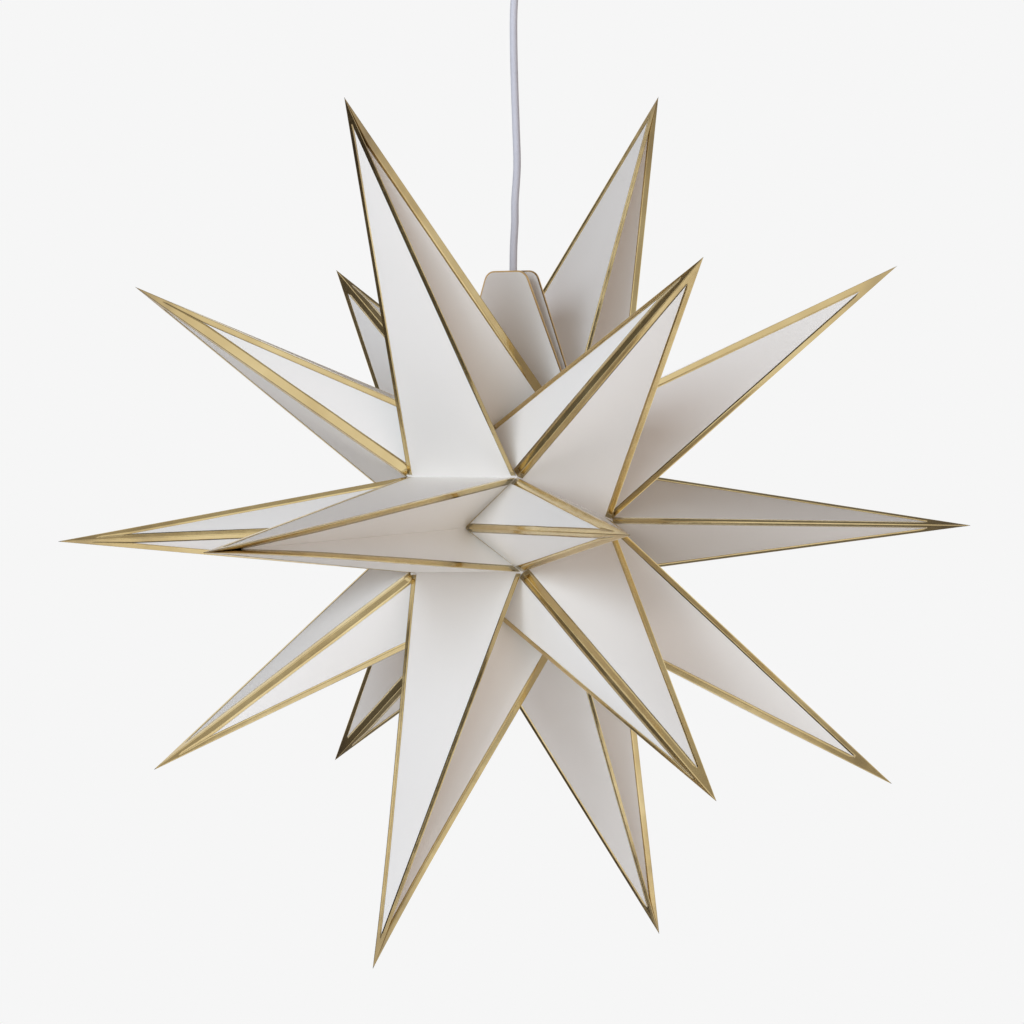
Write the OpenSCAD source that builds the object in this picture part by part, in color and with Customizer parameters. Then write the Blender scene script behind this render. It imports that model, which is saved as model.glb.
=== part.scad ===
// Folding paper star on its lamp cord, hung from a small ceiling fitting.
// The star opens like a book about a level axis that runs along X. Six folded
// card leaves stand round that axis, three points on each, and two cover boards
// close the ring at the top with the cord between them.
// Origin: middle of the ceiling bar's top face, on the ceiling. +Z is up.

/* [Star] */
// Reach of the tall points from the star's axis
point_reach = 300; // [260:1:330]
// Reach of the side points from the axis
side_reach = 180; // [160:1:200]
// Distance of the side points' tips from the middle, along the axis
side_out = 210; // [190:1:230]
// Distance from the ceiling down to the star's axis
hang_drop = 370; // [370:1:390]
// Opening between the two covers, in degrees
seam_open = 4.6; // [4.5:0.1:5.5]

/* [Folds] */
// Reach of the glued folds between two leaves
fold_reach = 59.5; // [57:0.5:62]
// Half the length of a glued fold, along the axis
fold_out = 40; // [36:0.5:44]
// Distance of the poles, where all leaves meet, from the middle
pole_out = 73.5; // [70:0.5:80]
// Reach of the notch where a side point's ridge runs into the tall point
notch_reach = 66; // [64:0.5:72]
// Distance of that notch from the middle, along the axis
notch_out = 10.5; // [8:0.5:14]

/* [Card and foil] */
// Thickness of the folded card
card_t = 0.5; // [0.4:0.05:0.8]
// Width of the gold band on each side of a ridge
band_w = 4.3; // [3:0.1:5.5]
// Thickness of the gold foil
foil_t = 0.12; // [0.1:0.02:0.2]
// White corner left between the foil's end and the fold
band_gap = 1.4; // [1:0.1:2.5]

/* [Covers] */
// Height of the covers' top edge over the axis
cover_top = 151; // [145:1:160]
// Half the width of the covers at the top edge
cover_top_half = 14.3; // [13:0.1:16]
// Radius of the covers' top corners
cover_corner_r = 8; // [5:0.5:9]
// Thickness of the cover boards
cover_t = 0.8; // [0.6:0.05:0.9]
// Width of the gold edging round a cover
cover_edge_w = 0.9; // [0.6:0.1:1.5]
// Height of the covers' lower ends over the axis
cover_foot = 24; // [23:1:28]
// Half the width of the arch that clears the lamp
arch_half = 34; // [30:1:36]
// Width of the slot that lets the cord up between the covers
cord_slot_w = 9; // [8:0.5:12]
// Height of that slot's top over the axis
cord_slot_top = 84; // [82:1:90]

/* [Lamp] */
// Height of the lamp holder's top over the axis
holder_top = 52; // [50:0.5:54]
// Radius of the lamp holder
holder_r = 13; // [12:0.5:15]
// Length of the lamp holder's barrel
holder_len = 32; // [30:1:36]
// Height of the holder's cap
cap_h = 12; // [10:0.5:14]
// Step by which the cap overhangs the barrel
cap_step = 1; // [0.5:0.1:2]
// Radius of the bulb's screw base
base_r = 6.8; // [6.6:0.05:7]
// Length of the bulb's screw base
base_len = 22; // [18:0.5:24]
// Radius of the bulb's globe
globe_r = 22.5; // [20:0.5:23]
// Length of the bulb's neck
neck_len = 7.5; // [6:0.5:8]
// Play between the screw base and its socket
base_play = 0.3; // [0.2:0.05:0.5]

/* [Cord] */
// Diameter of the lamp cord
cord_d = 4.6; // [4.4:0.1:4.7]

/* [Ceiling fitting] */
// Radius of the ceiling cup at its rim
cup_r = 30; // [28:0.5:35]
// Height of the ceiling cup
cup_h = 24; // [22:0.5:28]
// Wall of the ceiling cup
cup_wall = 2; // [1.6:0.1:2.5]
// Radius of the round at the cup's lower edge
cup_round = 7; // [5:0.5:9]
// Thickness of the steel bar
bar_t = 1.5; // [1.2:0.1:2]
// Width of the steel bar
bar_w = 12; // [10:0.5:14]
// Distance between the bar's two screw holes
bar_holes = 36; // [30:1:38]
// Diameter of the bar's screw holes
bar_hole_d = 4.5; // [4:0.1:5]
// Length of the bar's bent ears
bar_ear = 9; // [8:0.5:11]
// Play between the bar's ears and the cup
bar_play = 0.3; // [0.2:0.05:0.5]
// Diameter of the cup screws
screw_d = 3; // [2.5:0.1:3.5]
// Head radius of the cup screws
screw_head_r = 2.9; // [2.5:0.1:3.5]
// Head height of the cup screws
screw_head_h = 1.8; // [1.4:0.1:2.2]
// Radius of the cord grip's collar
grip_r = 7; // [6.5:0.1:8]
// Length of the cord grip below the cup
grip_len = 15; // [12:0.5:16]
// Play of the cord in the grip
grip_play = 0.1; // [0.05:0.05:0.2]
// Radius of the grip's thread through the cup
grip_neck_r = 4.8; // [4.5:0.1:5.2]
// Length and width of the terminal block
block_w = 14; // [12:0.5:16]
// Height of the terminal block
block_h = 9; // [8:0.5:10]

/* [Hidden] */
$fn = 64;
// Overrun of a cut past the face it opens
cut = 0.01;

card_colour = "#f4f2ee";
foil_colour = "#c9a45c";
cord_colour = "#d6d5dc";
white_plastic = "#ececea";

// Turn of each glued fold about the axis: 0 is the front, 90 the top.
// The card has not sprung open quite evenly, so the leaves differ a little.
back_cover_turn = 90.6;
front_cover_turn = back_cover_turn - seam_open;
bottom_fold = -90.5;
folds = [[bottom_fold, -31], [-31, 26], [26, front_cover_turn],
         [back_cover_turn, 150], [150, 212], [212, 360 + bottom_fold]];
// How far each leaf's points lean from the middle between its two folds, in degrees
leans = [0, 0, -0.8, -0.3, 0, 0];

function unit(v) = v / norm(v);
function sum(v, i = 0) = i < len(v) - 1 ? v[i] + sum(v, i + 1) : v[i];

// A place on the star: along the axis, out from it, and its turn about it
function place(out, reach, turn) = [out, -reach * cos(turn), reach * sin(turn) - hang_drop];
function outward(turn) = [0, -cos(turn), sin(turn)];
along = [1, 0, 0];

// Corner names of one leaf, as indices
TALL = 0;
SIDE = 1;
SIDE_BACK = 2;
POLE = 3;
POLE_BACK = 4;
LOW = 5;
LOW_BACK = 6;
HIGH = 7;
HIGH_BACK = 8;
NOTCH = 9;
NOTCH_BACK = 10;

function points_turn(i) = (folds[i][0] + folds[i][1]) / 2 + leans[i];
function leaf_corners(i) = let (f = folds[i], m = points_turn(i)) [
    place(0, point_reach, m),
    place(side_out, side_reach, m), place(-side_out, side_reach, m),
    place(pole_out, 0, m), place(-pole_out, 0, m),
    place(fold_out, fold_reach, f[0]), place(-fold_out, fold_reach, f[0]),
    place(fold_out, fold_reach, f[1]), place(-fold_out, fold_reach, f[1]),
    place(notch_out, notch_reach, m), place(-notch_out, notch_reach, m)];

// Facets of a leaf, each turning left as seen from outside
TALL_FACES = [[TALL, LOW_BACK, LOW], [TALL, HIGH, HIGH_BACK],
    [TALL, LOW, NOTCH], [TALL, NOTCH, HIGH],
    [TALL, NOTCH_BACK, LOW_BACK], [TALL, HIGH_BACK, NOTCH_BACK]];
SIDE_FACES = [[SIDE, POLE, HIGH], [SIDE, HIGH, NOTCH], [SIDE, NOTCH, LOW], [SIDE, LOW, POLE]];
BACK_FACES = [[SIDE_BACK, HIGH_BACK, POLE_BACK], [SIDE_BACK, NOTCH_BACK, HIGH_BACK],
    [SIDE_BACK, LOW_BACK, NOTCH_BACK], [SIDE_BACK, POLE_BACK, LOW_BACK]];
LEAF_FACES = concat(TALL_FACES, SIDE_FACES, BACK_FACES);
LEAF_RIM = [LOW_BACK, LOW, POLE, HIGH, HIGH_BACK, POLE_BACK];

function normal(a, b, c) = unit(cross(b - a, c - a));
function face_normal(v, f) = normal(v[f[0]], v[f[1]], v[f[2]]);
function normals(v, faces) = [for (f = faces) face_normal(v, f)];
function touching(faces, i) = [for (f = faces) if (f[0] == i || f[1] == i || f[2] == i) f];

// Inner corner behind a corner, one card thickness in from the facets round it
function behind(v, i, dir, faces) =
    v[i] - dir * card_t / min([for (n = normals(v, touching(faces, i))) n * dir]);
// Inner corner in the glued plane of a fold
function behind_fold(v, i, turn, fold_face, pole_face, side) =
    let (n1 = face_normal(v, fold_face), n2 = face_normal(v, pole_face))
    let (d = -card_t / (n1 * outward(turn)))
    let (e = (-card_t - d * (n2 * outward(turn))) / (n2 * along * side))
    v[i] + d * outward(turn) + e * side * along;

function leaf_inner(v, i) =
    let (f = folds[i], m = outward(points_turn(i)))
    let (side_dir = unit(v[SIDE] - (v[POLE] + v[NOTCH] + v[LOW] + v[HIGH]) / 4))
    let (back_dir = unit(v[SIDE_BACK]
        - (v[POLE_BACK] + v[NOTCH_BACK] + v[LOW_BACK] + v[HIGH_BACK]) / 4))
    let (notch_dir = unit(sum(normals(v, touching(LEAF_FACES, NOTCH)))))
    let (notch_back_dir = unit(sum(normals(v, touching(LEAF_FACES, NOTCH_BACK)))))
    [behind(v, TALL, m, TALL_FACES),
     behind(v, SIDE, side_dir, SIDE_FACES), behind(v, SIDE_BACK, back_dir, BACK_FACES),
     behind(v, POLE, along, SIDE_FACES), behind(v, POLE_BACK, -along, BACK_FACES),
     behind_fold(v, LOW, f[0], TALL_FACES[0], SIDE_FACES[3], 1),
     behind_fold(v, LOW_BACK, f[0], TALL_FACES[0], BACK_FACES[3], -1),
     behind_fold(v, HIGH, f[1], TALL_FACES[1], SIDE_FACES[0], 1),
     behind_fold(v, HIGH_BACK, f[1], TALL_FACES[1], BACK_FACES[0], -1),
     behind(v, NOTCH, notch_dir, LEAF_FACES),
     behind(v, NOTCH_BACK, notch_back_dir, LEAF_FACES)];

// One folded card leaf with its three hollow points
module leaf(i) {
    v = leaf_corners(i);
    n = len(v);
    rim = len(LEAF_RIM);
    walls = [for (k = [0 : rim - 1]) let (a = LEAF_RIM[k], b = LEAF_RIM[(k + 1) % rim])
        each [[b, a, a + n], [b, a + n, b + n]]];
    inner_faces = [for (f = LEAF_FACES) [f[0] + n, f[2] + n, f[1] + n]];
    turned = [for (f = concat(LEAF_FACES, inner_faces, walls)) [f[0], f[2], f[1]]];
    color(card_colour)
        polyhedron(points = concat(v, leaf_inner(v, i)), faces = turned);
}

// Gold foil over the four ridges of one point. ridges are the ridges' lower ends in
// turn, and each between is the valley that parts two ridges, or undef on a flat facet.
module foil_hood(tip, ridges, between) {
    n = len(ridges);
    u = [for (r = ridges) unit(r - tip)];
    next = [for (i = [0 : n - 1]) (i + 1) % n];
    last = [for (i = [0 : n - 1]) (i + n - 1) % n];
    // Base corner that each half facet runs to, and the line that parts the halves
    mid = [for (i = [0 : n - 1])
        is_undef(between[i]) ? unit(u[i] + u[next[i]]) : unit(between[i] - tip)];
    to_next = [for (i = [0 : n - 1]) is_undef(between[i]) ? ridges[next[i]] : between[i]];
    to_last = [for (i = [0 : n - 1])
        is_undef(between[last[i]]) ? ridges[last[i]] : between[last[i]]];
    n_next = [for (i = [0 : n - 1]) unit(cross(u[i], to_next[i] - tip))];
    n_last = [for (i = [0 : n - 1]) unit(cross(to_last[i] - tip, u[i]))];
    ends = [for (i = [0 : n - 1]) ridges[i] - u[i] * band_gap];
    function side_end(i, target) = let (e = unit(target - ridges[i]))
        ends[i] + e * band_w / norm(cross(u[i], e));
    near = [for (i = [0 : n - 1]) side_end(i, to_next[i])];
    far = [for (i = [0 : n - 1]) side_end(i, to_last[i])];
    crotch = [for (i = [0 : n - 1]) tip + mid[i] * band_w / norm(cross(u[i], mid[i]))];
    function lift(n1, n2) = (n1 + n2) * foil_t / (1 + n1 * n2);
    low = concat([tip], ends, near, far, crotch);
    high = concat([tip - unit(sum(u)) * foil_t * 4],
        [for (i = [0 : n - 1]) ends[i] + lift(n_next[i], n_last[i])],
        [for (i = [0 : n - 1]) near[i] + n_next[i] * foil_t],
        [for (i = [0 : n - 1]) far[i] + n_last[i] * foil_t],
        [for (i = [0 : n - 1]) crotch[i] + lift(n_next[i], n_last[next[i]])]);
    END = 1;
    NEAR = 1 + n;
    FAR = 1 + 2 * n;
    CROTCH = 1 + 3 * n;
    top = [for (i = [0 : n - 1]) each [
        [0, END + i, NEAR + i], [0, NEAR + i, CROTCH + i],
        [0, CROTCH + i, FAR + next[i]], [0, FAR + next[i], END + next[i]]]];
    loop = [for (i = [0 : n - 1]) each [END + i, NEAR + i, CROTCH + i, FAR + next[i]]];
    m = len(low);
    walls = [for (k = [0 : len(loop) - 1])
        let (a = loop[k], b = loop[(k + 1) % len(loop)])
        each [[b + m, a + m, a], [b + m, a, b]]];
    over = [for (f = top) [f[0] + m, f[1] + m, f[2] + m]];
    under = [for (f = top) [f[0], f[2], f[1]]];
    turned = [for (f = concat(over, under, walls)) [f[0], f[2], f[1]]];
    polyhedron(points = concat(low, high), faces = turned);
}

// Foil on the three points of one leaf
module gold_edging(i) {
    v = leaf_corners(i);
    color(foil_colour) {
        foil_hood(v[TALL], [v[LOW], v[HIGH], v[HIGH_BACK], v[LOW_BACK]],
            [v[NOTCH], undef, v[NOTCH_BACK], undef]);
        foil_hood(v[SIDE], [v[POLE], v[HIGH], v[NOTCH], v[LOW]], [undef, undef, undef, undef]);
        foil_hood(v[SIDE_BACK], [v[POLE_BACK], v[LOW_BACK], v[NOTCH_BACK], v[HIGH_BACK]],
            [undef, undef, undef, undef]);
    }
}

// Half width of a cover board at a height over the axis: its sides run to the poles
cover_slope = (pole_out - cover_top_half) / cover_top;
function cover_half(h) = pole_out - cover_slope * h;
side_angle = atan(1 / cover_slope);
corner_steps = 8;

// Outline of a cover's right half from the foot up to the middle of the top edge
function cover_side(inset) =
    let (r = cover_corner_r - inset)
    let (top = cover_top - inset)
    let (shift = inset / sin(side_angle))
    let (centre_x = cover_half(top) - shift - r * tan(side_angle / 2))
    concat([[cover_half(cover_foot) - shift, cover_foot]],
        [for (k = [0 : corner_steps]) let (a = 90 - side_angle * (1 - k / corner_steps))
            [centre_x + r * cos(a), top - r + r * sin(a)]]);

module cover_outline(inset) {
    right = cover_side(inset);
    left = [for (k = [len(right) - 1 : -1 : 0]) [-right[k][0], right[k][1]]];
    polygon(concat(right, left));
}

// Lays a flat outline, drawn over the axis, into the plane of a cover board
module in_cover_plane(turn, side) {
    translate([0, 0, -hang_drop])
        rotate([90 - turn, 0, 0])
            rotate([90, 0, 0])
                translate([0, 0, side > 0 ? -cover_t : 0])
                    linear_extrude(cover_t)
                        children();
}

// The arch over the lamp, with the slot for the cord at its top
module cover_arch(turn) {
    seat = holder_top / sin(turn) + 0.1;
    translate([-arch_half, 0]) square([2 * arch_half, seat]);
    translate([-cord_slot_w / 2, 0]) square([cord_slot_w, cord_slot_top - cord_slot_w / 2]);
    translate([0, cord_slot_top - cord_slot_w / 2]) circle(d = cord_slot_w);
}

module cover_panel(turn, side) {
    color(card_colour)
        in_cover_plane(turn, side)
            difference() {
                cover_outline(cover_edge_w);
                cover_arch(turn);
            }
}

module cover_edging(turn, side) {
    color(foil_colour)
        in_cover_plane(turn, side)
            difference() {
                cover_outline(0);
                cover_outline(cover_edge_w);
                translate([-pole_out, 0]) square([2 * pole_out, cover_foot + cut]);
            }
}

module front_cover() {
    cover_panel(front_cover_turn, 1);
}

module back_cover() {
    cover_panel(back_cover_turn, -1);
}

module front_cover_edging() {
    cover_edging(front_cover_turn, 1);
}

module back_cover_edging() {
    cover_edging(back_cover_turn, -1);
}

// Middle of the gap between the covers, at a height over the axis
seam_turn = (front_cover_turn + back_cover_turn) / 2;
function gap_middle(h) = -h / tan(seam_turn);
lamp_y = gap_middle(fold_reach);
cord_r = cord_d / 2;

module at_lamp(height) {
    translate([0, lamp_y, height - hang_drop]) children();
}

module lamp_holder_cap() {
    color(white_plastic)
        at_lamp(holder_top - cap_h)
            rotate_extrude()
                difference() {
                    polygon([[0, 0], [holder_r + cap_step, 0], [holder_r + cap_step, cap_h - 1],
                        [holder_r + cap_step - 1, cap_h], [0, cap_h]]);
                    square([cord_r + grip_play, cap_h]);
                }
}

module lamp_holder() {
    socket_r = base_r + base_play;
    color(white_plastic)
        at_lamp(holder_top - cap_h - holder_len)
            rotate_extrude()
                difference() {
                    polygon([[0, 0], [holder_r, 0], [holder_r, holder_len], [0, holder_len]]);
                    square([socket_r, base_len + base_play]);
                }
}

module bulb() {
    shoulder = holder_top - cap_h - holder_len;
    neck_r = base_r + 2;
    wide_r = neck_r + 3;
    globe_z = -neck_len - sqrt(pow(globe_r, 2) - pow(wide_r, 2));
    join = acos(wide_r / globe_r);
    step = 6;
    color("#f3f1ea")
        at_lamp(shoulder)
            rotate_extrude()
                polygon(concat([[0, base_len], [base_r, base_len], [base_r, 0], [neck_r, 0],
                    [wide_r, -neck_len]],
                    [for (a = [join - step : -step : step - 90]) [globe_r * cos(a), globe_z + globe_r * sin(a)]],
                    [[0, globe_z - globe_r]]));
}

// Route of the cord from the lamp holder up to the ceiling fitting: X, Y and the
// height over the star's axis
cord_route = [[0, lamp_y, 40], [0, lamp_y, 60], [0.1, -2.5, 86], [0.3, -3.2, 115],
    [0.7, -3.8, 138], [0.8, -4, 152], [0.5, -3.2, 166], [0.9, -2.5, 180],
    [0.6, -2, 193], [1.5, -1.1, 214], [0.4, -0.6, 236], [-0.6, -0.6, 260],
    [-1.2, -0.8, 284], [-1.3, -0.8, 304], [-0.7, -0.4, 319], [0, 0, 331], [0, 0, 348]];
cord_sides = 10;
cord_steps = 2;

// Point at share t of the stretch after route point k, on a smooth curve
function bend(a, b, c, d, t) = (2 * b + (c - a) * t + (2 * a - 5 * b + 4 * c - d) * t * t
    + (3 * b - a - 3 * c + d) * t * t * t) / 2;
function route_at(k, t) = let (last = len(cord_route) - 1)
    bend(cord_route[max(k - 1, 0)], cord_route[k], cord_route[min(k + 1, last)],
        cord_route[min(k + 2, last)], t);
function cord_path() = concat(
    [for (k = [0 : len(cord_route) - 2], j = [0 : cord_steps - 1]) route_at(k, j / cord_steps)],
    [cord_route[len(cord_route) - 1]]);

module lamp_cord() {
    path = [for (p = cord_path()) p - [0, 0, hang_drop]];
    rings = len(path);
    points = [for (p = path, j = [0 : cord_sides - 1])
        p + cord_r * [cos(j * 360 / cord_sides), sin(j * 360 / cord_sides), 0]];
    sides = [for (i = [0 : rings - 2], j = [0 : cord_sides - 1])
        let (a = i * cord_sides + j, b = i * cord_sides + (j + 1) % cord_sides)
        [a, a + cord_sides, b + cord_sides, b]];
    low_end = [for (j = [0 : cord_sides - 1]) j];
    high_end = [for (j = [cord_sides - 1 : -1 : 0]) (rings - 1) * cord_sides + j];
    color(cord_colour) polyhedron(points = points, faces = concat(sides, [low_end, high_end]));
}

cup_floor = -cup_h;
cord_end = cord_route[len(cord_route) - 1][2] - hang_drop;

// Round grip under the cup, with a threaded neck through the cup's floor
module cord_grip() {
    collar = grip_len / 3;
    color(white_plastic)
        translate([0, 0, cup_floor])
            rotate_extrude()
                difference() {
                    polygon([[0, -grip_len], [grip_r - 2, -grip_len], [grip_r - 0.8, -collar],
                        [grip_r, -collar], [grip_r, 0], [grip_neck_r, 0],
                        [grip_neck_r, cup_wall], [0, cup_wall]]);
                    translate([0, -grip_len]) square([cord_r + grip_play, grip_len + cup_wall]);
                }
}

// Bent round of the cup's lower edge, drawn as a quarter ring of points
function cup_outline(r, h, round_r) = concat([[0, 0], [0, -h]],
    [for (a = [-90 : 10 : 0]) [r - round_r + round_r * cos(a), round_r - h + round_r * sin(a)]],
    [[r, 0]]);
screw_z = -bar_ear / 2 - bar_t;

module ceiling_cup() {
    color(white_plastic)
        difference() {
            rotate_extrude()
                difference() {
                    polygon(cup_outline(cup_r, cup_h, cup_round));
                    translate([0, cut])
                        polygon(cup_outline(cup_r - cup_wall, cup_h - cup_wall + cut,
                            cup_round - cup_wall));
                    translate([0, -cup_h - cut]) square([grip_neck_r, cup_wall + 2 * cut]);
                }
            for (side = [-1, 1])
                translate([side * cup_r, 0, screw_z])
                    rotate([0, 90, 0])
                        cylinder(d = screw_d + 0.4, h = 4 * cup_wall, center = true);
        }
}

bar_half = sqrt(pow(cup_r - cup_wall - bar_play, 2) - pow(bar_w / 2, 2));

// Steel bar that is screwed to the ceiling, with two bent ears for the cup
module ceiling_bar() {
    color("#b9bcc0")
        difference() {
            union() {
                translate([-bar_half, -bar_w / 2, -bar_t]) cube([2 * bar_half, bar_w, bar_t]);
                for (side = [0, 1])
                    mirror([side, 0, 0])
                        translate([bar_half - bar_t, -bar_w / 2, -bar_t - bar_ear])
                            cube([bar_t, bar_w, bar_ear + bar_t]);
            }
            for (side = [-1, 1]) {
                translate([side * bar_holes / 2, 0, -2 * bar_t])
                    cylinder(d = bar_hole_d, h = 3 * bar_t);
                translate([side * bar_half, 0, screw_z])
                    rotate([0, 90, 0])
                        cylinder(d = screw_d + 0.1, h = 4 * bar_t, center = true);
            }
        }
}

// Two screws through the cup's wall into the bar's ears
module cup_screws() {
    color("#c9ccd0")
        for (side = [0, 1])
            mirror([side, 0, 0])
                translate([cup_r, 0, screw_z])
                    rotate([0, 90, 0]) {
                        cylinder(r = screw_head_r, h = screw_head_h);
                        translate([0, 0, -(cup_r - bar_half + bar_t)])
                            cylinder(d = screw_d, h = cup_r - bar_half + bar_t);
                    }
}

// Block in the cup that the cord's wires are clamped in
module terminal_block() {
    color(white_plastic)
        translate([-block_w / 2, -block_w / 2, cord_end])
            cube([block_w, block_w, block_h]);
}

leaf(0);  // leaf_1
leaf(1);  // leaf_2
leaf(2);  // leaf_3
leaf(3);  // leaf_4
leaf(4);  // leaf_5
leaf(5);  // leaf_6
gold_edging(0);  // gold_edging_1
gold_edging(1);  // gold_edging_2
gold_edging(2);  // gold_edging_3
gold_edging(3);  // gold_edging_4
gold_edging(4);  // gold_edging_5
gold_edging(5);  // gold_edging_6
front_cover();
back_cover();
front_cover_edging();
back_cover_edging();
lamp_cord();
lamp_holder_cap();
lamp_holder();
bulb();
cord_grip();
ceiling_cup();
cup_screws();
ceiling_bar();
terminal_block();
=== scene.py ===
"""Looks of the paper advent star: folded white card with gold foil edges, hung on its cord.

The shapes repeat the named sizes of the CAD source, in metres. The origin is on the
ceiling, over the middle of the star, and the star's axis runs along X.
"""

import math

import bmesh
import bpy
from mathutils import Matrix, Vector, noise


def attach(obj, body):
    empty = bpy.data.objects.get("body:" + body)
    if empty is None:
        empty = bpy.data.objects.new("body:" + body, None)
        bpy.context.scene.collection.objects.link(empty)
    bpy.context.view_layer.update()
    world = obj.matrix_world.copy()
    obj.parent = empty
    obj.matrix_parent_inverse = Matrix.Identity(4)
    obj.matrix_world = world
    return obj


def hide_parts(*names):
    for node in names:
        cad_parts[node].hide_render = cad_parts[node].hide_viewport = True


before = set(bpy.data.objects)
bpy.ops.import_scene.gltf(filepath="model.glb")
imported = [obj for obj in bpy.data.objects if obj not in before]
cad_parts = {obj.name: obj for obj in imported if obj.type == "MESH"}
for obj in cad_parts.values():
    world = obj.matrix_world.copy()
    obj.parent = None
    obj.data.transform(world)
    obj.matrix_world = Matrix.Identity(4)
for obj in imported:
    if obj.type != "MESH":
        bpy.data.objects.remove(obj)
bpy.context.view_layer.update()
MM = 0.001

# Named sizes

# A reach is measured from the star's axis, and an out along it from the star's middle
HANG_DROP = 370 * MM        # ceiling to the star's axis
POINT_REACH = 300 * MM
SIDE_REACH, SIDE_OUT = 180 * MM, 210 * MM
FOLD_REACH, FOLD_OUT = 59.5 * MM, 40 * MM
POLE_OUT = 73.5 * MM
NOTCH_REACH, NOTCH_OUT = 66 * MM, 10.5 * MM
CARD_T = 0.5 * MM
BAND_GAP = 1.4 * MM         # from the foil's end to the ridge's end
CORD_D = 4.6 * MM
BOTTOM_FOLD, BACK_COVER_TURN, SEAM_OPEN = -90.5, 90.6, 4.6
FRONT_COVER_TURN = BACK_COVER_TURN - SEAM_OPEN

# Turn of each leaf's two glued folds about the axis, in degrees: 0 front, 90 top
FOLDS = [(BOTTOM_FOLD, -31), (-31, 26), (26, FRONT_COVER_TURN),
         (BACK_COVER_TURN, 150), (150, 212), (212, 360 + BOTTOM_FOLD)]
# How far each leaf's points lean from the middle between its folds
LEANS = [0, 0, -0.8, -0.3, 0, 0]

CENTRE = Vector((0, 0, -HANG_DROP))

# Camera

# The photograph is taken from far away with a long lens, level with the star
CAMERA_TURN = 36.3          # degrees round the star from its front
CAMERA_RISE = 0.41          # degrees over the star's axis
CAMERA_DISTANCE = 3.6
LENS, SENSOR = 209.5, 36.0
# The star's middle is a little right of and under the picture's middle
CAMERA_OFF_RIGHT, CAMERA_OFF_UP = -2.5 * MM, 5.2 * MM


def camera_axes():
    """Viewer's right, viewer's up and the way back to the camera."""
    turn, rise = math.radians(CAMERA_TURN), math.radians(CAMERA_RISE)
    back = Vector((math.sin(turn) * math.cos(rise), -math.cos(turn) * math.cos(rise),
                   math.sin(rise)))
    right = Vector((math.cos(turn), math.sin(turn), 0))
    return right, back.cross(right), back


RIGHT, UP, BACK = camera_axes()


def make_camera():
    data = bpy.data.cameras.new("camera")
    data.lens, data.sensor_width = LENS, SENSOR
    data.clip_start, data.clip_end = 0.1, 60
    camera = bpy.data.objects.new("camera", data)
    bpy.context.scene.collection.objects.link(camera)
    stand = CENTRE + BACK * CAMERA_DISTANCE + RIGHT * CAMERA_OFF_RIGHT + UP * CAMERA_OFF_UP
    turn = Matrix((RIGHT, UP, BACK)).transposed().to_4x4()
    camera.matrix_world = Matrix.Translation(stand) @ turn
    bpy.context.scene.camera = camera


make_camera()

# Node helpers


class Nodes:
    """A new material's node tree, with short calls for the few nodes used here."""

    def __init__(self, name):
        self.material = bpy.data.materials.new(name)
        self.material.use_nodes = True
        self.tree = self.material.node_tree
        self.shader = self.tree.nodes["Principled BSDF"]
        self.place = self.new("ShaderNodeTexCoord").outputs["Object"]

    def new(self, kind, **settings):
        node = self.tree.nodes.new(kind)
        for key, value in settings.items():
            setattr(node, key, value)
        return node

    def link(self, source, target):
        self.tree.links.new(source, target)

    def stretched(self, scale):
        """Object coordinates, scaled apart in X, Y and Z."""
        node = self.new("ShaderNodeMapping")
        node.inputs["Scale"].default_value = scale
        self.link(self.place, node.inputs["Vector"])
        return node.outputs["Vector"]

    def noise(self, scale, detail=3.0, roughness=0.5, where=None):
        node = self.new("ShaderNodeTexNoise")
        node.inputs["Scale"].default_value = scale
        node.inputs["Detail"].default_value = detail
        node.inputs["Roughness"].default_value = roughness
        self.link(where or self.place, node.inputs["Vector"])
        return node.outputs["Fac"]

    def ramp(self, fac, stops):
        """stops: (position, colour) pairs."""
        node = self.new("ShaderNodeValToRGB")
        ramp = node.color_ramp
        while len(ramp.elements) < len(stops):
            ramp.elements.new(0.5)
        for element, (position, colour) in zip(ramp.elements, stops):
            element.position = position
            element.color = (*colour, 1)
        self.link(fac, node.inputs["Fac"])
        return node.outputs["Color"]

    def distance(self, centre):
        """How far the surface is from a place on the object."""
        node = self.new("ShaderNodeVectorMath", operation="DISTANCE")
        node.inputs[1].default_value = centre
        self.link(self.place, node.inputs[0])
        return node.outputs["Value"]

    def less(self, fac, other):
        node = self.new("ShaderNodeMath", operation="SUBTRACT")
        self.link(fac, node.inputs[0])
        self.link(other, node.inputs[1])
        return node.outputs[0]

    def spread(self, fac, low, high, start=0.0, end=1.0):
        """A number from low to high as fac goes from start to end."""
        node = self.new("ShaderNodeMapRange")
        node.inputs["From Min"].default_value = start
        node.inputs["From Max"].default_value = end
        node.inputs["To Min"].default_value = low
        node.inputs["To Max"].default_value = high
        self.link(fac, node.inputs["Value"])
        return node.outputs["Result"]

    def bump(self, height, strength, distance, under=None):
        node = self.new("ShaderNodeBump")
        node.inputs["Strength"].default_value = strength
        node.inputs["Distance"].default_value = distance
        self.link(height, node.inputs["Height"])
        if under:
            self.link(under, node.inputs["Normal"])
        return node.outputs["Normal"]

    def set(self, **sockets):
        """Shader sockets by name, with _ for a space: a number, a colour or a link."""
        for key, value in sockets.items():
            socket = self.shader.inputs[key.replace("_", " ")]
            if isinstance(value, bpy.types.NodeSocket):
                self.link(value, socket)
            else:
                socket.default_value = (*value, 1) if isinstance(value, tuple) else value
        return self.material


# Materials


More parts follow.
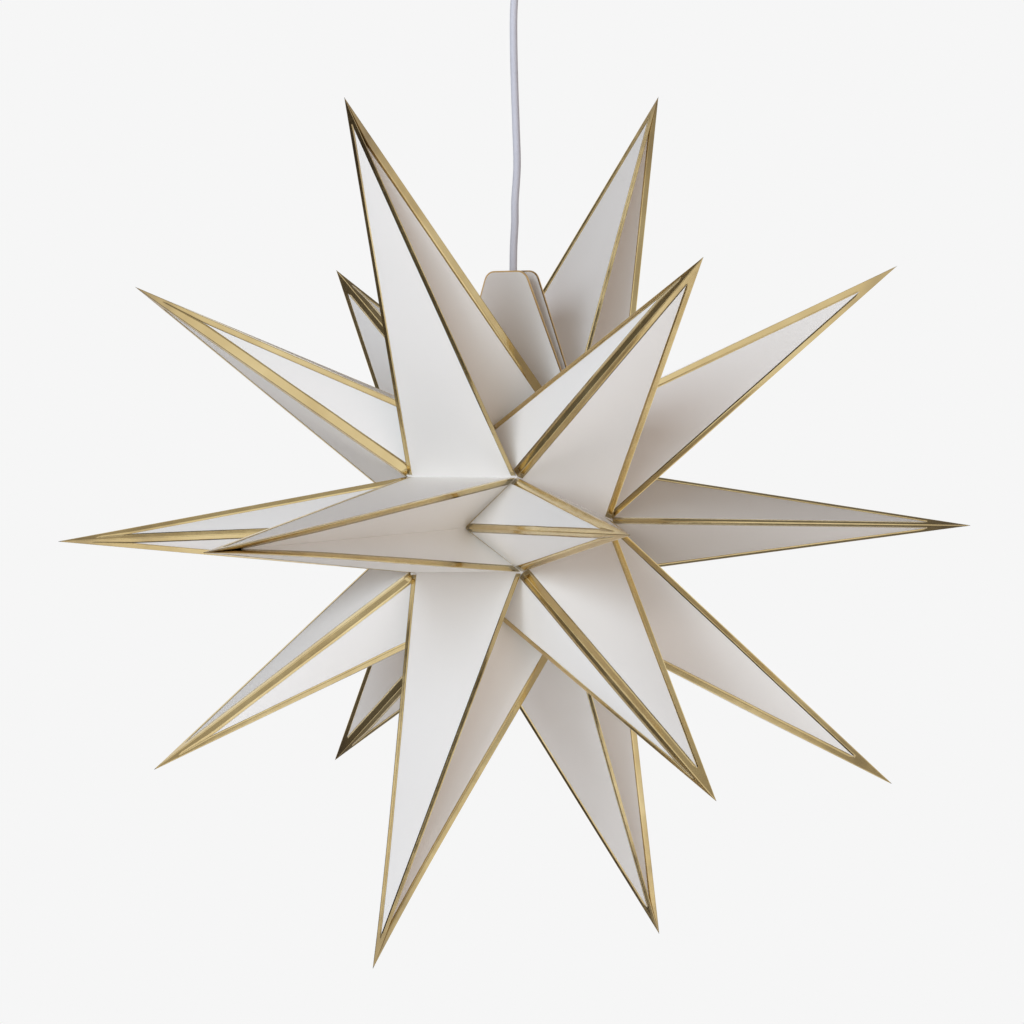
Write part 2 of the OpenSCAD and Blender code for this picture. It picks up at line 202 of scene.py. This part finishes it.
def card_material(name, warm=0.0):
    """Smooth matt card: faint cloudiness, fine fibre and a soft sheen."""
    n = Nodes(name)
    cloud = n.noise(9, 3, 0.55)
    fibre = n.noise(1600, 4, 0.65)
    grain = n.noise(420, 3, 0.6)
    colour = n.ramp(cloud, [(0.3, (0.865, 0.835 - warm, 0.79 - 2 * warm)),
                            (0.7, (0.89, 0.86 - warm, 0.82 - 2 * warm))])
    under = n.bump(grain, 0.05, 0.2 * MM)
    return n.set(Base_Color=colour, Roughness=n.spread(grain, 0.5, 0.62),
                 Specular_IOR_Level=0.32, Normal=n.bump(fibre, 0.08, 0.04 * MM, under))


TIP_SHADE_FROM = 200 * MM        # from the middle of the star; from here out to the tips the foil's colour is painted darker, as painted shade


def foil_material(name, deep_tone_and_tip_shade, dark, light, roughness):
    """Gold foil on card: mirror bright, with long shallow waves and a fine crinkle.

    Its colour is painted darker towards the tips of the points: painted shade that stands in
    for the darker reflections there.
    """
    n = Nodes(name)
    patches = n.noise(24, 3, 0.6)
    waves = n.noise(48, 2, 0.45)
    crinkle = n.noise(520, 3, 0.6)
    fine = n.noise(1500, 3, 0.6)
    scuffs = n.noise(70, 4, 0.6, n.stretched((1, 5, 1.6)))
    # Painted shade: the foil's colour is darkened by distance from the star's middle, most at
    # the tips, in place of darker reflections there
    painted_tip_shade = n.spread(n.distance(CENTRE), 0, 0.5, TIP_SHADE_FROM, POINT_REACH)
    colour = n.ramp(n.less(patches, painted_tip_shade), [(0.0, deep_tone_and_tip_shade), (0.3, dark), (0.7, light)])
    gloss = n.ramp(scuffs, [(0.5, (0, 0, 0)), (0.8, (1, 1, 1))])
    wavy = n.bump(waves, 0.3, 0.9 * MM)
    crinkled = n.bump(crinkle, 0.16, 0.06 * MM, wavy)
    return n.set(Base_Color=colour, Metallic=1.0,
                 Roughness=n.spread(gloss, roughness, roughness + 0.1),
                 Normal=n.bump(fine, 0.12, 0.03 * MM, crinkled))


def plastic_material(name, colour, roughness, grain_scale=700):
    n = Nodes(name)
    grain = n.noise(grain_scale, 3, 0.6)
    cloud = n.noise(25, 2, 0.5)
    dim = tuple(c * 0.95 for c in colour)
    return n.set(Base_Color=n.ramp(cloud, [(0.35, dim), (0.65, colour)]),
                 Roughness=n.spread(grain, roughness - 0.05, roughness + 0.08),
                 Specular_IOR_Level=0.45, Normal=n.bump(grain, 0.06, 0.08 * MM))


def steel_material(name):
    n = Nodes(name)
    brushed = n.noise(90, 4, 0.65, n.stretched((1, 24, 24)))
    colour = n.ramp(brushed, [(0.3, (0.50, 0.51, 0.53)), (0.7, (0.62, 0.63, 0.65))])
    return n.set(Base_Color=colour, Metallic=1.0, Roughness=n.spread(brushed, 0.28, 0.45),
                 Normal=n.bump(brushed, 0.1, 0.1 * MM))


def bulb_material(name):
    n = Nodes(name)
    cloud = n.noise(30, 2, 0.5)
    colour = n.ramp(cloud, [(0.3, (0.86, 0.84, 0.79)), (0.7, (0.90, 0.88, 0.84))])
    return n.set(Base_Color=colour, Roughness=0.25, Coat_Weight=0.4, Coat_Roughness=0.1)


CARD = card_material("white_card")
BOARD = card_material("cover_card", 0.005)
# The first colour is the foil's deepest tone, and the painted shade at the points' tips
GOLD = foil_material("gold_foil", (0.36, 0.27, 0.15), (0.64, 0.49, 0.24), (0.80, 0.65, 0.35),
                     0.15)
GOLD_LINE = foil_material("gold_line", (0.40, 0.26, 0.12), (0.44, 0.29, 0.13),
                          (0.56, 0.38, 0.18), 0.28)
CORD_PVC = plastic_material("cord_sheath", (0.66, 0.66, 0.72), 0.42, 500)
WHITE_PLASTIC = plastic_material("white_plastic", (0.80, 0.80, 0.79), 0.36)
STEEL = steel_material("zinc_steel")
OPAL = bulb_material("opal_bulb")

# Cord

# Same route as in the CAD source: X, Y and height over the star's axis
LAMP_Y = -1.77
CORD_ROUTE = [(0, LAMP_Y, 40), (0, LAMP_Y, 60), (0.1, -2.5, 86), (0.3, -3.2, 115),
              (0.7, -3.8, 138), (0.8, -4, 152), (0.5, -3.2, 166), (0.9, -2.5, 180),
              (0.6, -2, 193), (1.5, -1.1, 214), (0.4, -0.6, 236), (-0.6, -0.6, 260),
              (-1.2, -0.8, 284), (-1.3, -0.8, 304), (-0.7, -0.4, 319), (0, 0, 331), (0, 0, 348)]
CORD_STEPS = 4


def catmull_rom(points, steps):
    """A smooth curve through the points, with that many steps between two of them."""
    out = []
    last = len(points) - 1
    for k in range(last):
        a, b = points[max(k - 1, 0)], points[k]
        c, d = points[k + 1], points[min(k + 2, last)]
        for j in range(steps):
            t = j / steps
            out.append((2 * b + (c - a) * t + (2 * a - 5 * b + 4 * c - d) * t ** 2
                        + (3 * b - a - 3 * c + d) * t ** 3) / 2)
    return out + [points[-1]]


def make_cord():
    route = [Vector(p) * MM + CENTRE for p in CORD_ROUTE]
    line = catmull_rom(route, CORD_STEPS)
    data = bpy.data.curves.new("cord", "CURVE")
    data.dimensions = "3D"
    data.bevel_depth = CORD_D / 2
    data.bevel_resolution = 6
    data.use_fill_caps = True
    spline = data.splines.new("POLY")
    spline.points.add(len(line) - 1)
    for point, spot in zip(spline.points, line):
        point.co = (*spot, 1)
    spline.use_smooth = True
    cord = bpy.data.objects.new("cord", data)
    bpy.context.scene.collection.objects.link(cord)
    data.materials.append(CORD_PVC)
    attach(cord, "root")
    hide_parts("lamp_cord")


make_cord()

# The folded leaves

# Facets of a leaf by its corners, the point's tip first, each turning left from outside
TALL_FACES = [("TALL", "LOW_BACK", "LOW"), ("TALL", "HIGH", "HIGH_BACK"),
              ("TALL", "LOW", "NOTCH"), ("TALL", "NOTCH", "HIGH"),
              ("TALL", "NOTCH_BACK", "LOW_BACK"), ("TALL", "HIGH_BACK", "NOTCH_BACK")]
SIDE_FACES = [("SIDE", "POLE", "HIGH"), ("SIDE", "HIGH", "NOTCH"),
              ("SIDE", "NOTCH", "LOW"), ("SIDE", "LOW", "POLE")]
BACK_FACES = [("SIDE_BACK", "HIGH_BACK", "POLE_BACK"), ("SIDE_BACK", "NOTCH_BACK", "HIGH_BACK"),
              ("SIDE_BACK", "LOW_BACK", "NOTCH_BACK"), ("SIDE_BACK", "POLE_BACK", "LOW_BACK")]
LEAF_FACES = TALL_FACES + SIDE_FACES + BACK_FACES
LEAF_RIM = ["LOW_BACK", "LOW", "POLE", "HIGH", "HIGH_BACK", "POLE_BACK"]

# The star was opened by hand. Small moves of its corners as the viewer sees them:
# right and up, in mm. First the points' tips, by leaf.
TIP_MOVES = {
    (1, "TALL"): (3, 1), (2, "TALL"): (1, -3), (3, "TALL"): (1.5, 0.5),
    (4, "TALL"): (0, 3.5), (6, "TALL"): (2.5, 3),
    (1, "SIDE"): (-3, -1.5), (2, "SIDE"): (0.5, 2), (3, "SIDE"): (-2, 4),
    (4, "SIDE"): (4, -4), (6, "SIDE"): (2, 1),
    (1, "SIDE_BACK"): (-0.5, 4), (2, "SIDE_BACK"): (1, -4.5), (3, "SIDE_BACK"): (-2.5, -5.5),
    (4, "SIDE_BACK"): (1.5, 2), (6, "SIDE_BACK"): (2, 3)}
# Then the ends of the glued folds, by the fold's turn
FOLD_MOVES = {(-31, ""): (1, 1), (-31, "_BACK"): (0, -0.5),
              (26, ""): (-0.5, 0), (26, "_BACK"): (-1, 0.5)}
# Then single corners of single leaves
CORNER_MOVES = {(2, "NOTCH"): (0, -1), (3, "NOTCH"): (-1.5, 1.5)}
# Then the place on the right where all leaves meet
POLE_MOVE = (-3, 0.5)
# How far a ridge stands off its straight line at most, right and up, in mm
RIDGE_BOWS = {(1, "TALL", "HIGH_BACK"): (1, 0), (1, "TALL", "LOW"): (-2, -1),
              (2, "TALL", "HIGH"): (0, -1), (2, "TALL", "LOW"): (0, 1.5)}

FACET_STEPS = 14            # triangles along a facet's side
BOW = 0.7 * MM              # how far a facet bows out at its middle
BOW_UNEVEN = 0.9 * MM
BOW_WAVES = 9               # how often the unevenness changes, per metre
CARD_CREASE = 9             # degrees; a sharper fold stays crisp
# These bring a * b * c and a * a * b to 1 at their peaks, for shares that add up to 1
FACET_PEAK, RIDGE_PEAK = 27, 27 / 4


def place(out, reach, turn):
    """A place on the star: along the axis, out from it, and its turn about it."""
    a = math.radians(turn)
    return Vector((out, -reach * math.cos(a), reach * math.sin(a) - HANG_DROP))


def outward(turn):
    a = math.radians(turn)
    return Vector((0, -math.cos(a), math.sin(a)))


def points_turn(number, low, high):
    return (low + high) / 2 + LEANS[number - 1]


def seen_move(move):
    """A move given in mm as the viewer sees it."""
    return (RIGHT * move[0] + UP * move[1]) * MM


def leaf_corners(number, low, high):
    m = points_turn(number, low, high)
    v = {"TALL": place(0, POINT_REACH, m),
         "SIDE": place(SIDE_OUT, SIDE_REACH, m), "SIDE_BACK": place(-SIDE_OUT, SIDE_REACH, m),
         "POLE": place(POLE_OUT, 0, m), "POLE_BACK": place(-POLE_OUT, 0, m),
         "LOW": place(FOLD_OUT, FOLD_REACH, low), "LOW_BACK": place(-FOLD_OUT, FOLD_REACH, low),
         "HIGH": place(FOLD_OUT, FOLD_REACH, high),
         "HIGH_BACK": place(-FOLD_OUT, FOLD_REACH, high),
         "NOTCH": place(NOTCH_OUT, NOTCH_REACH, m),
         "NOTCH_BACK": place(-NOTCH_OUT, NOTCH_REACH, m)}
    for (leaf, corner), move in (TIP_MOVES | CORNER_MOVES).items():
        if leaf == number:
            v[corner] += seen_move(move)
    v["POLE"] += seen_move(POLE_MOVE)
    for (turn, back), move in FOLD_MOVES.items():
        for corner, fold in (("LOW", low), ("HIGH", high)):
            if fold == turn:
                v[corner + back] += seen_move(move)
    return v


def face_normal(v, face):
    a, b, c = (v[k] for k in face)
    return (b - a).cross(c - a).normalized()


def touching(faces, corner):
    return [f for f in faces if corner in f]


def inner_corners(v, low, high, turn_out):
    """The same corners on the card's inner side, one card thickness in."""
    def behind(corner, way, faces):
        return v[corner] - way * CARD_T / min(face_normal(v, f).dot(way)
                                              for f in touching(faces, corner))

    def behind_fold(corner, turn, fold_face, pole_face, side):
        n1, n2 = face_normal(v, fold_face), face_normal(v, pole_face)
        way, along = outward(turn), Vector((side, 0, 0))
        down = -CARD_T / n1.dot(way)
        return v[corner] + way * down + along * (-CARD_T - down * n2.dot(way)) / n2.dot(along)

    def side_way(tip, ring):
        return (v[tip] - sum((v[k] for k in ring), Vector()) / len(ring)).normalized()

    def notch_way(corner):
        return sum((face_normal(v, f) for f in touching(LEAF_FACES, corner)),
                   Vector()).normalized()

    along = Vector((1, 0, 0))
    ring = ("POLE", "NOTCH", "LOW", "HIGH")
    ring_back = tuple(k + "_BACK" for k in ring)
    return {
        "TALL": behind("TALL", outward(turn_out), TALL_FACES),
        "SIDE": behind("SIDE", side_way("SIDE", ring), SIDE_FACES),
        "SIDE_BACK": behind("SIDE_BACK", side_way("SIDE_BACK", ring_back), BACK_FACES),
        "POLE": behind("POLE", along, SIDE_FACES),
        "POLE_BACK": behind("POLE_BACK", -along, BACK_FACES),
        "LOW": behind_fold("LOW", low, TALL_FACES[0], SIDE_FACES[3], 1),
        "LOW_BACK": behind_fold("LOW_BACK", low, TALL_FACES[0], BACK_FACES[3], -1),
        "HIGH": behind_fold("HIGH", high, TALL_FACES[1], SIDE_FACES[0], 1),
        "HIGH_BACK": behind_fold("HIGH_BACK", high, TALL_FACES[1], BACK_FACES[0], -1),
        "NOTCH": behind("NOTCH", notch_way("NOTCH"), LEAF_FACES),
        "NOTCH_BACK": behind("NOTCH_BACK", notch_way("NOTCH_BACK"), LEAF_FACES)}


def bow(point, a, b, c):
    """How far the card stands out at a point of a facet: nothing along its folds."""
    share = FACET_PEAK * a * b * c
    return share * (BOW + BOW_UNEVEN * noise.noise(point * BOW_WAVES))


def ridge_bows(number, face):
    """Bows of the two ridges of a facet, most of it in the half near the tip."""
    return [seen_move(RIDGE_BOWS.get((number, face[0], end), (0, 0))) for end in face[1:]]


def on_facet(corners, outer, bows, a, b, c):
    """The point of the bowed card with these shares of the facet's three corners."""
    flat = corners[0] * a + corners[1] * b + corners[2] * c
    above = outer[0] * a + outer[1] * b + outer[2] * c
    normal = (outer[1] - outer[0]).cross(outer[2] - outer[0]).normalized()
    ridge = (bows[0] * b + bows[1] * c) * a * a * RIDGE_PEAK
    return flat + ridge + normal * bow(above, a, b, c)


def grid_triangles(start, steps):
    """Triangles over a triangular grid whose points are numbered row by row."""
    row = [start]
    for i in range(steps):
        row.append(row[-1] + steps + 1 - i)
    out = []
    for i in range(steps):
        for j in range(steps - i):
            here, over = row[i] + j, row[i + 1] + j
            out.append((here, over, here + 1))
            if j < steps - i - 1:
                out.append((over, over + 1, here + 1))
    return out


def mesh_object(name, points, faces, material, sharp, join=0.002 * MM):
    """A mesh with its doubled points joined. Folds steeper than sharp stay crisp."""
    mesh = bpy.data.meshes.new(name)
    mesh.from_pydata(points, [], faces)
    work = bmesh.new()
    work.from_mesh(mesh)
    bmesh.ops.remove_doubles(work, verts=work.verts, dist=join)
    bmesh.ops.dissolve_degenerate(work, edges=work.edges, dist=0.001 * MM)
    bmesh.ops.recalc_face_normals(work, faces=work.faces)
    work.to_mesh(mesh)
    work.free()
    for polygon in mesh.polygons:
        polygon.use_smooth = True
    mesh.set_sharp_from_angle(angle=math.radians(sharp))
    mesh.materials.append(material)
    obj = bpy.data.objects.new(name, mesh)
    bpy.context.scene.collection.objects.link(obj)
    return obj


def make_leaf(number, low, high):
    outer = leaf_corners(number, low, high)
    inner = inner_corners(outer, low, high, points_turn(number, low, high))
    steps = FACET_STEPS
    points, faces = [], []
    for face in LEAF_FACES:
        outer_face = [outer[k] for k in face]
        bows = ridge_bows(number, face)
        for side in (outer, inner):
            corners = [side[k] for k in face]
            start = len(points)
            for i in range(steps + 1):
                for j in range(steps + 1 - i):
                    b, c = i / steps, j / steps
                    points.append(on_facet(corners, outer_face, bows, 1 - b - c, b, c))
            triangles = grid_triangles(start, steps)
            faces += triangles if side is outer else [t[::-1] for t in triangles]
    for a, b in zip(LEAF_RIM, LEAF_RIM[1:] + LEAF_RIM[:1]):
        for k in range(steps):
            t, u = k / steps, (k + 1) / steps
            start = len(points)
            points += [outer[a].lerp(outer[b], t), outer[a].lerp(outer[b], u),
                       inner[a].lerp(inner[b], u), inner[a].lerp(inner[b], t)]
            faces.append((start, start + 1, start + 2, start + 3))
    leaf = mesh_object(f"star_leaf_{number}", points, faces, CARD, CARD_CREASE)
    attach(leaf, "root")
    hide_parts(f"leaf_{number}")
    return outer


# Gold foil

BAND_STEPS = 44
BAND_CROWDING = 1.25        # rows of the foil stand closer together near the tip
NOTCH_LINE_STEPS = 24
# Facets that have a plain valley, not a foiled ridge, towards the notch
VALLEYS = {("TALL", "NOTCH"), ("TALL", "NOTCH_BACK")}
EDGE_WANDER = 0.05          # the foil's edge isn't quite straight
FOIL_CREASE = 62            # degrees
FOIL_JOIN = 0.01 * MM
FOIL_LIFT = 0.1 * MM        # top of the foil over the card
RIDGE_ROUND = 0.3 * MM      # the foil turns over a ridge within this distance of it
NOTCH_LINE_W, FOLD_LINE_W = 1.2 * MM, 0.25 * MM
# Width of the foil beside a ridge. The print sits off the folds: it is narrow on the
# facet between a tall point's two outer ridges, and wide towards the notch.
FLAT_SIDE_W, NOTCH_RIDGE_W = 3.2 * MM, 3.4 * MM
# The same by leaf, where the leaves differ
POLE_RIDGE_W = [3.6 * MM, 3.6 * MM, 4.0 * MM, 3.6 * MM, 3.6 * MM, 3.6 * MM]
FOLD_POLE_W = [4.5 * MM, 4.5 * MM, 3.4 * MM, 4.5 * MM, 4.5 * MM, 4.5 * MM]
FOLD_NOTCH_W = [4.7 * MM, 4.7 * MM, 6.0 * MM, 4.7 * MM, 4.7 * MM, 4.7 * MM]
VALLEY_W = [4.3 * MM, 4.8 * MM, 5.2 * MM, 4.2 * MM, 4.3 * MM, 3.8 * MM]


def band_width(number, tip, end, other):
    """Width of the foil beside the ridge from tip to end, on the facet with other."""
    end, other = end.replace("_BACK", ""), other.replace("_BACK", "")
    if tip == "TALL":
        return VALLEY_W[number - 1] if other == "NOTCH" else FLAT_SIDE_W
    if end == "NOTCH":
        return NOTCH_RIDGE_W
    widths = POLE_RIDGE_W if end == "POLE" else FOLD_POLE_W if other == "POLE" else FOLD_NOTCH_W
    return widths[number - 1]


def shares(point, corners):
    """Shares of a facet's corners at a point in its plane."""
    a, b, c = corners
    whole = (b - a).cross(c - a)
    size = whole.length_squared
    share_b = (point - a).cross(c - a).dot(whole) / size
    share_c = (b - a).cross(point - a).dot(whole) / size
    return 1 - share_b - share_c, share_b, share_c


def on_card(point, corners, bows, lift):
    a, b, c = shares(point, corners)
    normal = (corners[1] - corners[0]).cross(corners[2] - corners[0]).normalized()
    return on_facet(corners, corners, bows, a, b, c) + normal * lift


def add_grid(points, faces, rows, flip):
    """Quads between rows of points."""
    start, width = len(points), len(rows[0])
    for row in rows:
        points += row
    for i in range(len(rows) - 1):
        for j in range(width - 1):
            a = start + i * width + j
            quad = (a, a + 1, a + width + 1, a + width)
            faces.append(quad[::-1] if flip else quad)


def add_band(points, faces, corners, bows, near, widths, ridge_lift):
    """Foil on one side of a ridge, from the tip to just short of the ridge's end.

    corners are the facet's, near says which of the last two ends the ridge. widths are
    those of the foil beside this ridge and beside the facet's other one, or None there.
    """
    tip, end, other = corners[0], corners[near], corners[3 - near]
    band_w, other_w = widths
    along = (end - tip).normalized()
    far = (other - tip).normalized()
    across = (far - along * far.dot(along)).normalized()
    angle = along.angle(far)
    if other_w:
        angle = math.atan2(band_w * math.sin(angle), other_w + band_w * math.cos(angle))
    slope = math.tan(angle)
    base = (other - end).normalized()
    lean = base.dot(along) / base.dot(across)
    length = (end - tip).length - BAND_GAP
    tip_lift = sum(((c - tip).normalized() for c in corners[1:]), Vector()).normalized()
    rows = []
    for i in range(BAND_STEPS + 1):
        share = (i / BAND_STEPS) ** BAND_CROWDING
        wander = 1 + EDGE_WANDER * noise.noise(tip * 40 + along * share * 6)
        wide = min(band_w * wander, share * length * slope / (1 - lean * slope))
        turn_over = min(RIDGE_ROUND, wide * 0.3)
        row = []
        for out in (0, turn_over, turn_over * 1.5, wide * 0.6, wide):
            reach = share * length + lean * out
            point = tip + along * reach + across * out
            if i == 0:
                row.append(tip - tip_lift * FOIL_LIFT * 2)
            elif out == 0:
                row.append(on_card(point, corners, bows, 0) + ridge_lift)
            else:
                row.append(on_card(point, corners, bows, FOIL_LIFT))
        rows.append(row)
    add_grid(points, faces, rows, near == 2)


def ridge_top(n1, n2):
    """Top of the foil's round over a ridge whose facets have these normals."""
    lift = FOIL_LIFT / math.cos(n1.angle(n2) / 2)
    return (n1 + n2).normalized() * (lift - RIDGE_ROUND * math.tan(n1.angle(n2) / 4))


def add_notch_line(points, faces, corners, bows, notch_at):
    """Thin gold line in the valley between a side point and the tall point."""
    fold_at = 3 - notch_at
    notch, fold, tip = corners[notch_at], corners[fold_at], corners[0]
    along = (fold - notch).normalized()
    across = ((tip - notch) - along * (tip - notch).dot(along)).normalized()
    length = (fold - notch).length
    rows = []
    for i in range(NOTCH_LINE_STEPS + 1):
        t = 0.02 + 0.96 * i / NOTCH_LINE_STEPS
        wide = NOTCH_LINE_W + (FOLD_LINE_W - NOTCH_LINE_W) * t ** 0.7
        point = notch + along * length * t
        rows.append([on_card(point + across * wide * s, corners, bows, FOIL_LIFT * 0.8)
                     for s in (0.02, 1)])
    add_grid(points, faces, rows, notch_at == 2)


def make_edging(number, v):
    points, faces = [], []
    normals = {face: face_normal(v, face) for face in LEAF_FACES}
    for face in LEAF_FACES:
        tip = face[0]
        corners = [v[k] for k in face]
        bows = ridge_bows(number, face)
        for near in (1, 2):
            end, other = face[near], face[3 - near]
            if (tip, end) in VALLEYS:
                continue
            across = None if (tip, other) in VALLEYS else band_width(number, tip, other, end)
            pair = [normals[f] for f in LEAF_FACES if f[0] == tip and end in f]
            add_band(points, faces, corners, bows, near,
                     (band_width(number, tip, end, other), across), ridge_top(*pair))
        if tip != "TALL":
            for at in (1, 2):
                if face[at].startswith("NOTCH"):
                    add_notch_line(points, faces, corners, bows, at)
    foil = mesh_object(f"foil_{number}", points, faces, GOLD, FOIL_CREASE, FOIL_JOIN)
    skin = foil.modifiers.new("thickness", "SOLIDIFY")
    skin.thickness, skin.offset = FOIL_LIFT, -1
    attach(foil, "root")
    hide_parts(f"gold_edging_{number}")


for number, (low, high) in enumerate(FOLDS, start=1):
    make_edging(number, make_leaf(number, low, high))

# CAD nodes that stay


def dress(node, material):
    """Gives a CAD node its material."""
    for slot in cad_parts[node].material_slots:
        slot.material = material


dress("front_cover", BOARD)
dress("back_cover", BOARD)
dress("front_cover_edging", GOLD_LINE)
dress("back_cover_edging", GOLD_LINE)
dress("lamp_holder_cap", WHITE_PLASTIC)
dress("lamp_holder", WHITE_PLASTIC)
dress("bulb", OPAL)
dress("cord_grip", WHITE_PLASTIC)
dress("ceiling_cup", WHITE_PLASTIC)
dress("terminal_block", WHITE_PLASTIC)
dress("cup_screws", STEEL)
dress("ceiling_bar", STEEL)

# Floor, backdrop and lights

BACKGROUND = (0.922, 0.922, 0.922)
FLOOR_DROP = 2.3            # from the ceiling
FLOOR_RADIUS = 12.0
# Added to the floor's own shade for the eye and for mirrors, so that it is as pale too
FLOOR_SHINE = (0.48, 0.49, 0.50)
FILL_STRENGTH, FILL_COLOUR = 0.20, (1, 0.82, 0.70)
LAMP_DISTANCE, SCREEN_DISTANCE = 2.6, 2.2
SCREEN_GLOW_COLOUR = (1, 0.97, 0.92)


def backdrop_ray(tree):
    """1 for the rays that see the pale background: the camera's, mirrored and refracted."""
    path = tree.nodes.new("ShaderNodeLightPath")
    either = tree.nodes.new("ShaderNodeMath")
    seen = tree.nodes.new("ShaderNodeMath")
    either.operation = seen.operation = "MAXIMUM"
    tree.links.new(path.outputs["Is Camera Ray"], either.inputs[0])
    tree.links.new(path.outputs["Is Glossy Ray"], either.inputs[1])
    tree.links.new(either.outputs[0], seen.inputs[0])
    tree.links.new(path.outputs["Is Transmission Ray"], seen.inputs[1])
    return seen.outputs[0]


def make_floor():
    n = Nodes("pale_floor")
    shade = n.ramp(n.noise(0.8, 3), [(0.3, (0.80, 0.80, 0.80)), (0.7, (0.82, 0.82, 0.82))])
    n.set(Base_Color=shade, Roughness=0.8, Emission_Color=FLOOR_SHINE,
          Emission_Strength=backdrop_ray(n.tree))
    n.material.cycles.emission_sampling = "NONE"
    work = bmesh.new()
    bmesh.ops.create_circle(work, cap_ends=True, segments=96, radius=FLOOR_RADIUS)
    mesh = bpy.data.meshes.new("floor")
    work.to_mesh(mesh)
    work.free()
    mesh.materials.append(n.material)
    floor = bpy.data.objects.new("floor", mesh)
    floor.location.z = -FLOOR_DROP
    bpy.context.scene.collection.objects.link(floor)


def make_world():
    """Pale studio: the eye, and mirrors, see the pale background; card gets a soft fill."""
    world = bpy.data.worlds.new("studio")
    bpy.context.scene.world = world
    world.use_nodes = True
    tree = world.node_tree
    back = tree.nodes["Background"]
    back.inputs["Color"].default_value = (*BACKGROUND, 1)
    fill = tree.nodes.new("ShaderNodeBackground")
    fill.inputs["Color"].default_value = (*FILL_COLOUR, 1)
    fill.inputs["Strength"].default_value = FILL_STRENGTH
    mix = tree.nodes.new("ShaderNodeMixShader")
    link = tree.links.new
    link(backdrop_ray(tree), mix.inputs["Fac"])
    link(fill.outputs[0], mix.inputs[1])
    link(back.outputs[0], mix.inputs[2])
    link(mix.outputs[0], tree.nodes["World Output"].inputs["Surface"])


def from_view(right, up, back):
    """A direction given as the photographer sees it."""
    return (RIGHT * right + UP * up + BACK * back).normalized()


def area_light(name, way, size, power, colour):
    """A soft lamp. The foil mirrors the pale studio and its screens, not the lamp itself."""
    data = bpy.data.lights.new(name, "AREA")
    data.shape, data.size = "SQUARE", size
    data.energy, data.color = power, colour
    light = bpy.data.objects.new(name, data)
    light.location = CENTRE + way * LAMP_DISTANCE
    light.rotation_euler = way.to_track_quat("Z", "Y").to_euler()
    light.visible_glossy = False
    bpy.context.scene.collection.objects.link(light)


def screen(name, way, width, height, glow):
    """Dim or dark panel round the set, which the camera doesn't see but the foil mirrors."""
    n = Nodes(name)
    dark = n.ramp(n.noise(3, 2), [(0.3, (0.03, 0.025, 0.02)), (0.7, (0.05, 0.04, 0.03))])
    n.set(Base_Color=dark, Roughness=0.9, Emission_Color=SCREEN_GLOW_COLOUR,
          Emission_Strength=glow)
    n.material.cycles.emission_sampling = "NONE"
    work = bmesh.new()
    bmesh.ops.create_grid(work, x_segments=1, y_segments=1, size=0.5)
    mesh = bpy.data.meshes.new(name)
    work.to_mesh(mesh)
    work.free()
    mesh.materials.append(n.material)
    panel = bpy.data.objects.new(name, mesh)
    panel.scale = (width, height, 1)
    panel.location = CENTRE + way * SCREEN_DISTANCE
    panel.rotation_euler = way.to_track_quat("Z", "Y").to_euler()
    panel.visible_camera = panel.visible_diffuse = panel.visible_shadow = False
    bpy.context.scene.collection.objects.link(panel)


make_floor()
make_world()
area_light("key", from_view(-0.60, 0.30, 0.74), 1.5, 33.5, (0.80, 0.88, 1))
area_light("front", from_view(-0.35, 0.15, 0.92), 1.5, 14, (0.66, 0.86, 1))
area_light("right", from_view(0.35, 0.10, 0.93), 1.5, 11, (1, 0.86, 0.80))
area_light("low_left", from_view(-0.40, -0.70, 0.60), 1.5, 12.5, (1, 0.98, 1))
area_light("low_right", from_view(0.40, -0.60, 0.70), 1.5, 9.5, (0.94, 0.96, 1))
area_light("rear", from_view(0.00, 0.15, -0.99), 2.2, 26, (1, 1, 1))
screen("dark_high", from_view(-0.74, 0.67, 0.00), 1.6, 1.3, 0.03)
screen("dark_low", from_view(-0.64, -0.75, -0.14), 2.1, 1.9, 0.04)
screen("dark_behind", from_view(-0.89, -0.02, -0.45), 1.5, 2.2, 0.08)
screen("dim_left", from_view(-0.46, -0.44, 0.77), 1.0, 0.8, 0.40)
screen("dim_over", from_view(0.12, 0.79, -0.60), 1.8, 1.2, 0.14)
screen("dim_under", from_view(0.12, -0.80, -0.58), 1.8, 1.2, 0.14)
screen("dim_top", from_view(-0.10, 0.98, 0.16), 1.6, 1.4, 0.40)
screen("dim_right", from_view(0.45, 0.62, 0.64), 2.0, 1.5, 0.42)

bpy.context.scene.view_settings.view_transform = "Standard"
